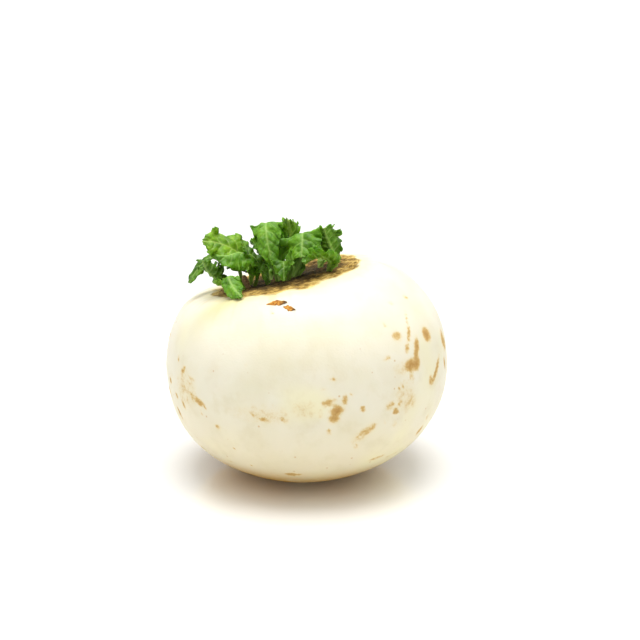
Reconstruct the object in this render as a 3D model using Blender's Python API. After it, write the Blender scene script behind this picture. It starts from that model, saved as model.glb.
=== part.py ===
"""A white turnip that has sprouted again in store, standing on the flat spot where its tail was cut.

The swollen root is one solid, with its dished crown. The young leaves, a bud stub and two dry
leaf scales stand on it, and each is a solid of its own. Metres, +Z up. The origin is the middle
of the flat spot, and the leaves lean toward -X and -Y.
"""

import math

import bmesh
import bpy
import numpy as np

MM = 0.001

# The root: a ball flattened along its own short axis, and squarer than an ellipse.
ROOT_RADIUS = 60.0 * MM
ROOT_HALF_HEIGHT = 47.25 * MM
ROOT_SQUARENESS = 2.25
ROOT_LEAN = math.radians(4.6)  # of the short axis, toward -X
ROOT_NOD = math.radians(3.0)  # of the short axis, toward -Y
REST_SPOT_DEPTH = 0.7 * MM  # how much of the underside is cut away flat

# The crown: a shallow dish where the old leaves were cut off, with its own axis from the heart.
CROWN_LEAN = math.radians(14.6)
CROWN_NOD = math.radians(-2.0)
CROWN_HEIGHT = 37.5 * MM  # from the heart of the root to the middle of the dish
CROWN_RADIUS = 31.6 * MM
DISH_DEPTH = 3.0 * MM  # of the middle below the rim
DISH_FALL = 3.0 * MM  # how far the dish slopes down, from its middle to its back rim
RIM_BLEND = 10.0 * MM  # how widely the dish rounds over into the shoulder

# The leaves.
BLADE_THICKNESS = 0.9 * MM
STALK_THICKNESS = 1.5 * MM
STALK_SHARE = 0.3  # of a leaf's length, over which stalk turns into blade
CUP = 0.28  # how far a blade's margins rise above its midrib, per half width
SEAT_GAP = 0.3 * MM  # between the crown's surface and what stands on it

# The bud stub and the dry scales.
STUB_RADIUS = 1.5 * MM
STUB_HEIGHT = 5.5 * MM
SCALE_THICKNESS = 0.8 * MM

# Mesh detail.
ROOT_RINGS = 40
ROOT_SIDES = 52
LEAF_RINGS = 16
LEAF_SIDES = 12
SCALE_RINGS = 8

LEAF_COLOURS = {"young": "#7FA51E", "full": "#3F7A2A", "deep": "#2C5A1E"}

# Each leaf: the way it leans (degrees from +X about the crown's axis), its twist about its midrib
# at the foot and at the tip (degrees), its colour, and its midrib from foot to tip. A midrib's
# points are (across, back, rise, half width) in mm: across and back lie in the crown's plane,
# and rise is above the crown's own surface at that place.
LEAVES = {
    "left_top_leaf": (190, -20, -50, "young", [
        (-14.5, 2, 0, 0.9), (-13.5, 1, 7, 2.6), (-15, -1, 13, 5.0),
        (-18, -4, 18.5, 5.6), (-22.5, -7, 22, 4.6), (-27, -9, 24, 0.9)]),
    "left_drooping_leaf": (190, 0, 30, "deep", [
        (-18, 9, 0, 0.9), (-18.5, 8, 8, 1.4), (-22.5, 5, 14, 2.2),
        (-28.5, 2, 13.5, 3.2), (-33.5, 0, 11, 2.8), (-38.5, -3, 7, 0.7)]),
    "left_side_leaf": (195, 0, 0, "full", [
        (-12, -4, 0, 0.9), (-10.5, -7.5, 5, 1.8), (-12, -10.5, 9, 3.6),
        (-15.5, -12, 10.5, 4.6), (-19.5, -14, 11, 3.8), (-22.5, -15.5, 13, 0.9)]),
    "left_curled_leaf": (215, 0, 30, "deep", [
        (-21, -7.5, 0, 0.8), (-23, -12, 4, 1.2), (-26.5, -14.5, 6.5, 2.6),
        (-28, -16, 10.5, 2.8), (-28, -16, 14, 0.7)]),
    "left_outer_leaf": (200, 0, 0, "deep", [
        (-20, -13, 0, 0.7), (-21.5, -15.5, 3.5, 1.0), (-24, -18.5, 5, 1.8), (-26.5, -19.5, 6.5, 0.7)]),
    "left_low_leaf": (270, 0, 0, "full", [
        (-16, -12, 0, 0.8), (-16.5, -17, 3.5, 2.6), (-17, -22, 4, 4.0),
        (-17, -27, 2.5, 3.6), (-15, -32, 1.2, 0.7)]),
    "middle_side_leaf": (190, -20, -20, "deep", [
        (-6, -9.5, 0, 0.8), (-7, -10, 4, 2.0), (-8.5, -9.5, 8, 3.2),
        (-10, -8, 12.5, 3.0), (-11, -6.5, 15.5, 0.9)]),
    "middle_back_leaf": (160, 0, 0, "full", [
        (-6, 5, 0, 0.8), (-7, 8, 6.5, 2.4), (-8.5, 9, 12.5, 3.8), (-10.5, 8.5, 17.5, 0.9)]),
    "middle_folded_leaf": (270, 0, 0, "full", [
        (-2, -6, 0, 0.9), (-1.5, -3.5, 8.5, 1.4), (-1, -4, 18, 4.4), (-0.5, -7, 23, 5.4),
        (-1.5, -12, 20.5, 5.0), (-2, -15.5, 14.5, 3.8), (-2, -17, 8, 0.7)]),
    "middle_far_leaf": (90, 0, 0, "deep", [
        (-1, 4, 0, 0.8), (0.5, 5.5, 8.5, 1.6), (1.5, 6, 16.5, 3.0), (2, 5.5, 22, 0.8)]),
    "middle_tip_leaf": (250, 0, 0, "young", [
        (2.5, 0, 0, 0.8), (5.5, 1.5, 8, 1.2), (8, 2, 15, 2.6),
        (9, 1, 19.5, 3.2), (9.5, -1, 23, 0.8)]),
    "middle_wavy_leaf": (270, 0, 0, "full", [
        (5, -6.5, 0, 1.0), (9, -3.5, 6, 1.6), (12, -4.5, 12.5, 5.0),
        (13, -8, 16.5, 6.6), (12, -12.5, 13, 6.4), (10.5, -15.5, 8.5, 2.6)]),
    "middle_low_leaf": (270, 0, 0, "deep", [
        (2, -11.5, 0, 0.8), (3, -16.5, 4, 1.6), (3, -21, 6.5, 3.2),
        (2.5, -24.5, 5, 3.2), (1.5, -27, 2, 0.7)]),
    "right_upper_leaf": (270, 0, 0, "full", [
        (22, -8, 0, 1.0), (24, -7, 4.5, 1.6), (24, -7, 9.5, 3.8),
        (23.5, -7.5, 13.5, 4.8), (24, -8.5, 16.5, 2.0)]),
    "right_lower_leaf": (205, 0, 0, "full", [
        (20.5, -13.5, 0, 1.0), (22.5, -17, 4.5, 1.8), (20, -20, 7.5, 4.2),
        (16.5, -21.5, 7, 4.0), (12.5, -23.5, 6, 0.9)]),
    "right_back_leaf": (250, 0, 0, "young", [
        (15.5, 1.5, 0, 0.8), (17.5, 4, 5, 1.6), (18.5, 5, 8.5, 2.4), (20, 5, 11, 0.7)]),
}

BUD_STUB_PLACE = (-15.5, -6.5)  # (across, back) on the crown, mm
# Each dry scale: (across, back) of its middle on the shoulder, the way it points, length and
# half width, in mm and degrees.
DRY_SCALES = {
    "dry_scale_large": (-2.0, -40.2, 352, 8.0, 1.3),
    "dry_scale_small": (2.6, -43.3, 335, 5.0, 1.0),
}


def leaned_axis(lean, nod):
    """The unit vector that +Z becomes when it leans toward -X and then nods toward -Y."""
    return np.array(
        [-math.sin(lean) * math.cos(nod), -math.sin(nod), math.cos(lean) * math.cos(nod)]
    )


def unit(vector):
    return vector / np.linalg.norm(vector)


ROOT_AXIS = unit(leaned_axis(ROOT_LEAN, ROOT_NOD))
CROWN_AXIS = unit(leaned_axis(CROWN_LEAN, CROWN_NOD))
CROWN_ACROSS = unit(np.cross((0.0, 1.0, 0.0), CROWN_AXIS))
CROWN_BACK = np.cross(CROWN_AXIS, CROWN_ACROSS)


def lowest_point():
    """The root's lowest point, from its heart.

    On (p/a)^n + (q/b)^n = 1, q down the short axis and p across it, the surface faces down where
    p/q = (tan(tilt) (a/b)^n)^(1/(n-1)).
    """
    a, b, n = ROOT_RADIUS, ROOT_HALF_HEIGHT, ROOT_SQUARENESS
    tilt = math.acos(ROOT_AXIS[2])
    ratio = (math.tan(tilt) * (a / b) ** n) ** (1 / (n - 1))
    down = ((ratio / a) ** n + (1 / b) ** n) ** (-1 / n)
    outward = (ROOT_AXIS * math.cos(tilt) - (0.0, 0.0, 1.0)) / max(math.sin(tilt), 1e-9)
    return -down * ROOT_AXIS + ratio * down * outward


HEART = -lowest_point() - (0.0, 0.0, REST_SPOT_DEPTH)


def root_radius(directions):
    """The root's uncut radius along unit directions: (|sin/a|^n + |cos/b|^n)^(-1/n)."""
    along = directions @ ROOT_AXIS
    across = np.sqrt(np.maximum(0.0, 1.0 - along**2))
    n = ROOT_SQUARENESS
    return ((across / ROOT_RADIUS) ** n + (np.abs(along) / ROOT_HALF_HEIGHT) ** n) ** (-1 / n)


def dished(heights, across, back):
    """Heights along the crown's axis, brought down softly to the dish.

    The dish is c + d (r/R)^2 - f back/R, and the soft minimum of s and t is
    min(s, t) - h^2 k/4 with h = max(k - |s - t|, 0) / k.
    """
    bowl = DISH_DEPTH * (across**2 + back**2) / CROWN_RADIUS**2
    dish = CROWN_HEIGHT + bowl - DISH_FALL * back / CROWN_RADIUS
    overlap = np.maximum(RIM_BLEND - np.abs(heights - dish), 0.0) / RIM_BLEND
    return np.minimum(heights, dish) - overlap**2 * RIM_BLEND / 4


def crown_height(across, back):
    """The root's height over its heart, along the crown's axis, found by halving."""
    foot = across * CROWN_ACROSS + back * CROWN_BACK
    low, high = 0.0, ROOT_RADIUS
    for _ in range(40):
        middle = (low + high) / 2
        point = foot + middle * CROWN_AXIS
        reach = np.linalg.norm(point)
        inside = reach < root_radius(point[None] / reach)[0]
        low, high = (middle, high) if inside else (low, middle)
    return float(dished(low, across, back))


def crown_point(across, back, height):
    return HEART + across * CROWN_ACROSS + back * CROWN_BACK + height * CROWN_AXIS


def seated(ring):
    """A ring of points brought down along the crown's axis to the seat gap over its surface."""
    from_heart = ring - HEART
    return np.array([
        crown_point(u, v, crown_height(u, v) + SEAT_GAP)
        for u, v in zip(from_heart @ CROWN_ACROSS, from_heart @ CROWN_BACK)
    ])


def crown_normal(across, back):
    """The outward normal of the root's surface near the crown, from its slopes."""
    step = 0.5 * MM
    slope_across = crown_height(across + step, back) - crown_height(across - step, back)
    slope_back = crown_height(across, back + step) - crown_height(across, back - step)
    normal = CROWN_AXIS * 2 * step - CROWN_ACROSS * slope_across - CROWN_BACK * slope_back
    return unit(normal)


def linear(hex_colour):
    """An sRGB hex colour as linear RGBA."""
    srgb = np.array([int(hex_colour[i : i + 2], 16) for i in (1, 3, 5)]) / 255
    rgb = np.where(srgb <= 0.04045, srgb / 12.92, ((srgb + 0.055) / 1.055) ** 2.4)
    return (*rgb, 1.0)


def material(name, hex_colour, roughness):
    made = bpy.data.materials.new(name)
    made.use_nodes = True
    shader = made.node_tree.nodes["Principled BSDF"]
    shader.inputs["Base Color"].default_value = linear(hex_colour)
    shader.inputs["Roughness"].default_value = roughness
    shader.inputs["Metallic"].default_value = 0.0
    made.diffuse_color = linear(hex_colour)
    return made


def add_object(name, bm, surface):
    """Turns a finished bmesh into a smooth-shaded object of the scene."""
    bmesh.ops.recalc_face_normals(bm, faces=bm.faces[:])
    mesh = bpy.data.meshes.new(name)
    bm.to_mesh(mesh)
    bm.free()
    mesh.materials.append(surface)
    mesh.shade_smooth()
    mesh.set_sharp_from_angle(angle=math.radians(50))
    made = bpy.data.objects.new(name, mesh)
    bpy.context.scene.collection.objects.link(made)
    return made


def bridge(bm, lower, upper):
    """Joins two rings of as many vertices with a band of faces."""
    for i in range(len(lower)):
        j = (i + 1) % len(lower)
        bm.faces.new((lower[i], lower[j], upper[j], upper[i]))


def loft(name, rings, surface):
    """A closed solid through rings of points, with a flat end at each end."""
    bm = bmesh.new()
    made = [[bm.verts.new(point) for point in ring] for ring in rings]
    for lower, upper in zip(made, made[1:]):
        bridge(bm, lower, upper)
    bm.faces.new(made[0][::-1])
    bm.faces.new(made[-1])
    return add_object(name, bm, surface)


def smooth_path(points, count):
    """Evenly numbered stations on a Catmull-Rom curve through the points.

    Between b and c, with neighbours a and d and t from 0 to 1:
    0.5 (2b + (c-a) t + (2a-5b+4c-d) t^2 + (3b-a-3c+d) t^3).
    """
    points = np.asarray(points, float)
    padded = np.vstack([2 * points[0] - points[1], points, 2 * points[-1] - points[-2]])
    stations = np.linspace(0, len(points) - 1, count)
    spans = np.minimum(stations.astype(int), len(points) - 2)
    t = (stations - spans)[:, None]
    a, b, c, d = (padded[spans + i] for i in range(4))
    return 0.5 * (
        2 * b + (c - a) * t + (2 * a - 5 * b + 4 * c - d) * t**2 + (3 * b - a - 3 * c + d) * t**3
    )


def build_root():
    """The swollen root, dished at the crown and cut flat underneath."""
    bm = bmesh.new()
    turns = np.linspace(0, 2 * math.pi, ROOT_SIDES, endpoint=False)
    around = np.outer(np.cos(turns), CROWN_ACROSS) + np.outer(np.sin(turns), CROWN_BACK)
    rings = []
    for swing in np.linspace(0, math.pi, ROOT_RINGS + 1):
        directions = math.cos(swing) * CROWN_AXIS + math.sin(swing) * around
        points = root_radius(directions)[:, None] * directions
        heights = points @ CROWN_AXIS
        lowered = dished(heights, points @ CROWN_ACROSS, points @ CROWN_BACK)
        points += np.outer(lowered - heights, CROWN_AXIS)
        rings.append(HEART + points)
    top = bm.verts.new(rings[0][0])
    bottom = bm.verts.new(rings[-1][0])
    made = [[bm.verts.new(point) for point in ring] for ring in rings[1:-1]]
    for lower, upper in zip(made, made[1:]):
        bridge(bm, lower, upper)
    for i in range(ROOT_SIDES):
        j = (i + 1) % ROOT_SIDES
        bm.faces.new((top, made[0][j], made[0][i]))
        bm.faces.new((bottom, made[-1][i], made[-1][j]))
    cut = bmesh.ops.bisect_plane(
        bm,
        geom=bm.verts[:] + bm.edges[:] + bm.faces[:],
        plane_co=(0, 0, 0),
        plane_no=(0, 0, -1),
        clear_outer=True,
    )
    cut_edges = [item for item in cut["geom_cut"] if isinstance(item, bmesh.types.BMEdge)]
    bmesh.ops.contextual_create(bm, geom=cut_edges)
    return add_object("turnip_root", bm, material("White turnip skin", "#F3F0E2", 0.45))


def build_leaf(name, heading, foot_twist, tip_twist, colour, midrib):
    """One leaf: a stalk that widens into a thin cupped blade along its midrib."""
    path = smooth_path(midrib, LEAF_RINGS) * MM
    centres = np.array([crown_point(u, v, crown_height(u, v) + rise) for u, v, rise, _ in path])
    halves = np.maximum(path[:, 3], 0.5 * MM)
    along = np.gradient(centres, axis=0)
    along /= np.linalg.norm(along, axis=1, keepdims=True)
    angle = math.radians(heading)
    lean = math.cos(angle) * CROWN_ACROSS + math.sin(angle) * CROWN_BACK
    level = np.cross(CROWN_AXIS, lean)
    share = np.linspace(0, 1, LEAF_RINGS)
    twists = np.radians(foot_twist + (tip_twist - foot_twist) * share)[:, None]
    level = level - (along @ level)[:, None] * along
    level /= np.linalg.norm(level, axis=1, keepdims=True)
    sides = np.cos(twists) * level + np.sin(twists) * np.cross(along, level)
    faces_up = np.cross(along, sides)
    bladed = np.clip(share / STALK_SHARE, 0, 1)
    thick = STALK_THICKNESS + (BLADE_THICKNESS - STALK_THICKNESS) * bladed
    turns = np.linspace(0, 2 * math.pi, LEAF_SIDES, endpoint=False)
    rings = []
    for i in range(LEAF_RINGS):
        x = halves[i] * np.cos(turns)
        z = thick[i] / 2 * np.sin(turns) + CUP * bladed[i] * x**2 / halves[i]
        rings.append(centres[i] + np.outer(x, sides[i]) + np.outer(z, faces_up[i]))
    rings[0] = seated(rings[0])
    return loft(name, rings, LEAF_MATERIALS[colour])


def build_bud_stub():
    """The rounded stub of a bud beside the left shoot."""
    across, back = (value * MM for value in BUD_STUB_PLACE)
    foot = crown_height(across, back)
    turns = np.linspace(0, 2 * math.pi, LEAF_SIDES, endpoint=False)
    around = np.outer(np.cos(turns), CROWN_ACROSS) + np.outer(np.sin(turns), CROWN_BACK)
    rings = []
    for share, width in ((0, 0.8), (0.25, 1.0), (0.6, 0.95), (0.85, 0.7), (1, 0.3)):
        centre = crown_point(across, back, foot + share * STUB_HEIGHT)
        rings.append(centre + width * STUB_RADIUS * around)
    rings[0] = seated(rings[0])
    return loft("bud_stub", rings, material("Pinkish bud stub", "#B0875A", 0.7))


def build_dry_scale(name, across, back, pointing, length, half_width):
    """A dry leaf scale lying along the shoulder, with both ends narrowed."""
    angle = math.radians(pointing)
    turns = np.linspace(0, 2 * math.pi, LEAF_SIDES, endpoint=False)
    lift = SEAT_GAP + SCALE_THICKNESS / 2
    rings = []
    for share in np.linspace(-1, 1, SCALE_RINGS):
        reach = share * length / 2
        u = (across + reach * math.cos(angle)) * MM
        v = (back + reach * math.sin(angle)) * MM
        normal = crown_normal(u, v)
        centre = crown_point(u, v, crown_height(u, v)) + lift * normal
        pointed = math.cos(angle) * CROWN_ACROSS + math.sin(angle) * CROWN_BACK
        side = unit(np.cross(normal, pointed))
        half = half_width * MM * max(0.25, math.sqrt(1 - share**2))
        thick = SCALE_THICKNESS * max(0.4, math.sqrt(1 - share**2))
        ring = np.outer(half * np.cos(turns), side) + np.outer(thick / 2 * np.sin(turns), normal)
        rings.append(centre + ring)
    return loft(name, rings, material("Dry brown scale", "#A9702F", 0.8))


for old in list(bpy.data.objects):
    bpy.data.objects.remove(old, do_unlink=True)

LEAF_MATERIALS = {
    key: material(f"Turnip leaf, {key}", colour, 0.5) for key, colour in LEAF_COLOURS.items()
}

build_root()
for leaf_name, (heading, foot_twist, tip_twist, colour, midrib) in LEAVES.items():
    build_leaf(leaf_name, heading, foot_twist, tip_twist, colour, midrib)
build_bud_stub()
for scale_name, place in DRY_SCALES.items():
    build_dry_scale(scale_name, *place)
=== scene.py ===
import math

import bpy
import numpy as np
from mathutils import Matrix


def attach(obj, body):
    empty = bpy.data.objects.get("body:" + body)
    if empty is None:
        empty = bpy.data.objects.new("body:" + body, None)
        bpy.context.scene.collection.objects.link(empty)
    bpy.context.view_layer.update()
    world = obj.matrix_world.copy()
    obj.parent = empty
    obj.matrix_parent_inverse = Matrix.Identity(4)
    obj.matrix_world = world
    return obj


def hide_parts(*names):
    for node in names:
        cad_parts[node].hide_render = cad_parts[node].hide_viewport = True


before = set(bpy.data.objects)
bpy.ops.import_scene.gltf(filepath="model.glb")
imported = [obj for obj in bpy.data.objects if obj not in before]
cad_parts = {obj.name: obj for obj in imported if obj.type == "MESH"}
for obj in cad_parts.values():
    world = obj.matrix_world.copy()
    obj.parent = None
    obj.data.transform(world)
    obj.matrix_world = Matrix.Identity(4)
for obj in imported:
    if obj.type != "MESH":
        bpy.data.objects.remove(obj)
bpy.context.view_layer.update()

# ---------------------------------------------------------------------------------------------
# The root: the swollen storage root of a white turnip, one grown piece of dense white flesh in a
# thin waxy skin. The old leaf rosette was cut off its crown, which dried to brown fibre, and the
# tail was cut off flat underneath, so it stands by itself.
# ---------------------------------------------------------------------------------------------
MM = 0.001

ROOT_RADIUS = 60.0 * MM
ROOT_HALF_HEIGHT = 47.25 * MM
ROOT_SQUARENESS = 2.25
ROOT_LEAN = math.radians(4.6)
ROOT_NOD = math.radians(3.0)
REST_SPOT_DEPTH = 0.7 * MM
CROWN_LEAN = math.radians(14.6)
CROWN_NOD = math.radians(-2.0)
CROWN_HEIGHT = 37.5 * MM
CROWN_RADIUS = 31.6 * MM
DISH_DEPTH = 3.0 * MM
DISH_FALL = 3.0 * MM
RIM_BLEND = 10.0 * MM

CROWN_RINGS = 150  # rings of the mesh inside the crown and its rim, 0.27 mm apart
BODY_RINGS = 105
ROOT_SIDES = 370
CROWN_SPREAD = 2.6 * MM  # how far the fibre spreads past its circle, on one side
CROWN_SPREAD_TURN = math.radians(-62)  # and which side, about the crown's axis
FIBRE_RING = 14 * MM  # radius of the ring its noise is read on: a smaller one, longer streaks
CREASE_RING = 45 * MM
SCUFF_DEPTH = 0.12 * MM
CROWN_SWING = math.radians(46)  # from the crown's axis, where the fine rings end
GOLDEN_ANGLE = math.radians(137.5)  # between one leaf scar and the next
LEAF_SCARS = 46
FIRST_SCAR = 4  # those before it would lie under the middle shoot
SCAR_WIDTH = 4.2 * MM  # from a scar's middle to where its ends fade
SCAR_BEND = 9 * MM  # the w that bends it into a crescent
SCAR_REACH = 4 * MM  # how far inward of its lip it is looked for


def unit(vectors):
    """Vectors divided by their lengths."""
    return vectors / np.linalg.norm(vectors, axis=-1, keepdims=True)


def leaned_axis(lean, nod):
    """The unit vector that +Z becomes when it leans toward -X and then nods toward -Y."""
    return unit(np.array(
        [-math.sin(lean) * math.cos(nod), -math.sin(nod), math.cos(lean) * math.cos(nod)]
    ))


def smooth_step(low, high, values):
    """0 below low, 1 above high, and 3t^2 - 2t^3 between them."""
    t = np.clip((values - low) / (high - low), 0, 1)
    return t * t * (3 - 2 * t)


def corner_value(corners, seed):
    """A fixed number from -1 to 1 for each whole-number corner, by mixing its bits."""
    x, y, z = (corners[..., axis].astype(np.int64).astype(np.uint64) for axis in range(3))
    mixed = x * np.uint64(374761393) + y * np.uint64(668265263) + z * np.uint64(2147483647)
    mixed += np.uint64(seed * 974634777)
    mixed = (mixed ^ (mixed >> np.uint64(13))) * np.uint64(1274126177)
    mixed = (mixed ^ (mixed >> np.uint64(16))) * np.uint64(2246822519)
    return ((mixed >> np.uint64(11)) & np.uint64(0xFFFF)) / 32767.5 - 1


def noise(points, size, seed, octaves=1):
    """Smooth noise from about -1 to 1 with lumps of a size in metres. The seed picks the pattern.

    Each cube of that size has a value at its corners, blended by 3t^2 - 2t^3 along each axis.
    Each further octave is half as large and half as strong.
    """
    total = np.zeros(points.shape[:-1])
    for octave in range(octaves):
        scaled = points / (size / 2**octave)
        base = np.floor(scaled)
        t = scaled - base
        t = t * t * (3 - 2 * t)
        value = 0
        for dx in (0, 1):
            for dy in (0, 1):
                for dz in (0, 1):
                    step = np.array([dx, dy, dz])
                    weight = np.prod(np.where(step, t, 1 - t), axis=-1)
                    value = value + weight * corner_value(base + step, seed + 31 * octave)
        total += value / 2**octave
    return total


ROOT_AXIS = leaned_axis(ROOT_LEAN, ROOT_NOD)
CROWN_AXIS = leaned_axis(CROWN_LEAN, CROWN_NOD)
CROWN_ACROSS = unit(np.cross((0.0, 1.0, 0.0), CROWN_AXIS))
CROWN_BACK = np.cross(CROWN_AXIS, CROWN_ACROSS)


def root_heart():
    """The root's heart over the middle of its flat spot, from the slope rule of its outline.

    On (p/a)^n + (q/b)^n = 1, q down the short axis and p across it, the surface faces down where
    p/q = (tan(tilt) (a/b)^n)^(1/(n-1)).
    """
    a, b, n = ROOT_RADIUS, ROOT_HALF_HEIGHT, ROOT_SQUARENESS
    tilt = math.acos(ROOT_AXIS[2])
    ratio = (math.tan(tilt) * (a / b) ** n) ** (1 / (n - 1))
    down = ((ratio / a) ** n + (1 / b) ** n) ** (-1 / n)
    outward = (ROOT_AXIS * math.cos(tilt) - (0.0, 0.0, 1.0)) / math.sin(tilt)
    return down * ROOT_AXIS - ratio * down * outward - (0.0, 0.0, REST_SPOT_DEPTH)


HEART = root_heart()


def root_radius(directions):
    """The root's uncut radius along unit directions: (|sin/a|^n + |cos/b|^n)^(-1/n)."""
    along = directions @ ROOT_AXIS
    across = np.sqrt(np.maximum(0.0, 1.0 - along**2))
    n = ROOT_SQUARENESS
    return ((across / ROOT_RADIUS) ** n + (np.abs(along) / ROOT_HALF_HEIGHT) ** n) ** (-1 / n)


def dished(heights, across, back):
    """Heights along the crown's axis, brought down softly to the dish.

    The dish is c + d (r/R)^2 - f back/R, and the soft minimum of s and t is
    min(s, t) - h^2 k/4 with h = max(k - |s - t|, 0) / k.
    """
    bowl = DISH_DEPTH * (across**2 + back**2) / CROWN_RADIUS**2
    dish = CROWN_HEIGHT + bowl - DISH_FALL * back / CROWN_RADIUS
    overlap = np.maximum(RIM_BLEND - np.abs(heights - dish), 0.0) / RIM_BLEND
    return np.minimum(heights, dish) - overlap**2 * RIM_BLEND / 4


def crown_height(across, back):
    """The root's smooth height over its heart along the crown's axis, found by halving."""
    across, back = np.broadcast_arrays(np.asarray(across, float), np.asarray(back, float))
    foot = across[..., None] * CROWN_ACROSS + back[..., None] * CROWN_BACK
    low, high = np.zeros(across.shape), np.full(across.shape, ROOT_RADIUS)
    for _ in range(36):
        middle = (low + high) / 2
        point = foot + middle[..., None] * CROWN_AXIS
        reach = np.linalg.norm(point, axis=-1)
        inside = reach < root_radius(unit(point))
        low, high = np.where(inside, middle, low), np.where(inside, high, middle)
    return dished(low, across, back)


def crown_point(across, back, height):
    """Points from their places in the crown's plane and their heights over the heart."""
    across, back, height = (np.asarray(value, float)[..., None] for value in (across, back, height))
    return HEART + across * CROWN_ACROSS + back * CROWN_BACK + height * CROWN_AXIS


def scar_field(across, back):
    """Leaf scars as crescents on a sunflower spiral: how deep in a scar, and how near its lip.

    Scar k lies at radius R sqrt(k/N) and angle k times 137.5 degrees. With a outward and b
    sideways from its middle, the lip is where a + b^2/w is 0 and the scar is just inside it.
    """
    deep, lip = np.zeros(across.shape), np.zeros(across.shape)
    for k in range(FIRST_SCAR, LEAF_SCARS):
        radius = CROWN_RADIUS * 0.93 * math.sqrt(k / LEAF_SCARS)
        angle = k * GOLDEN_ANGLE
        outward = across * math.cos(angle) + back * math.sin(angle) - radius
        sideways = back * math.cos(angle) - across * math.sin(angle)
        bend = outward + sideways**2 / SCAR_BEND
        near = np.exp(-((sideways / SCAR_WIDTH) ** 4)) * (outward > -SCAR_REACH)
        lip = np.maximum(lip, near * np.exp(-((bend / (0.45 * MM)) ** 2)))
        deep = np.maximum(deep, near * np.exp(-(((bend + 1.1 * MM) / (0.9 * MM)) ** 2)))
    return deep, lip


def mesh_object(name, vertices, faces, surface, **values):
    """A smooth-shaded object from an array of points and a list of faces.

    Each of the values is one number, or one vector, for each point, for the material to read.
    """
    mesh = bpy.data.meshes.new(name)
    mesh.from_pydata(vertices.tolist(), [], faces)
    mesh.materials.append(surface)
    mesh.shade_smooth()
    for value_name, stored in values.items():
        kind, field = ("FLOAT", "value") if stored.ndim == 1 else ("FLOAT_VECTOR", "vector")
        attribute = mesh.attributes.new(value_name, kind, "POINT")
        attribute.data.foreach_set(field, stored.astype(np.float32).ravel())
    made = bpy.data.objects.new(name, mesh)
    bpy.context.scene.collection.objects.link(made)
    return made


def linear(hex_colour):
    """An sRGB hex colour as linear RGBA."""
    srgb = np.array([int(hex_colour[i : i + 2], 16) for i in (1, 3, 5)]) / 255
    rgb = np.where(srgb <= 0.04045, srgb / 12.92, ((srgb + 0.055) / 1.055) ** 2.4)
    return (*rgb, 1.0)


# What many nodes share: a Mix node that mixes colours, and a Map Range node with soft ends.
COLOURS = {"data_type": "RGBA"}
SOFT_ENDS = {"interpolation_type": "SMOOTHSTEP"}


def new_material(name):
    """An empty node material with its Principled shader linked to the output."""
    made = bpy.data.materials.new(name)
    made.use_nodes = True
    return made, made.node_tree, made.node_tree.nodes["Principled BSDF"]


def give(tree, node, settings):
    """Gives a node's properties and sockets their values.

    A setting's name is a property, or else a socket's name or number. A value that is an output
    of another node is linked. "stops" fills a colour ramp with (position, hex colour) pairs.
    """
    for name, value in settings.items():
        if name == "stops":
            elements = node.color_ramp.elements
            for position, colour in value[len(elements):]:
                elements.new(position)
            for element, (position, colour) in zip(elements, value):
                element.position = position
                element.color = linear(colour)
        elif isinstance(value, bpy.types.NodeSocket):
            tree.links.new(value, node.inputs[name])
        elif isinstance(name, str) and hasattr(node, name):
            setattr(node, name, value)
        else:
            is_colour = isinstance(value, str) and value.startswith("#")
            node.inputs[name].default_value = linear(value) if is_colour else value


def add(tree, kind, settings, output=0):
    """Adds a node with its settings, and returns one of its outputs."""
    node = tree.nodes.new(kind)
    give(tree, node, settings)
    return node.outputs[output]


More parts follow.
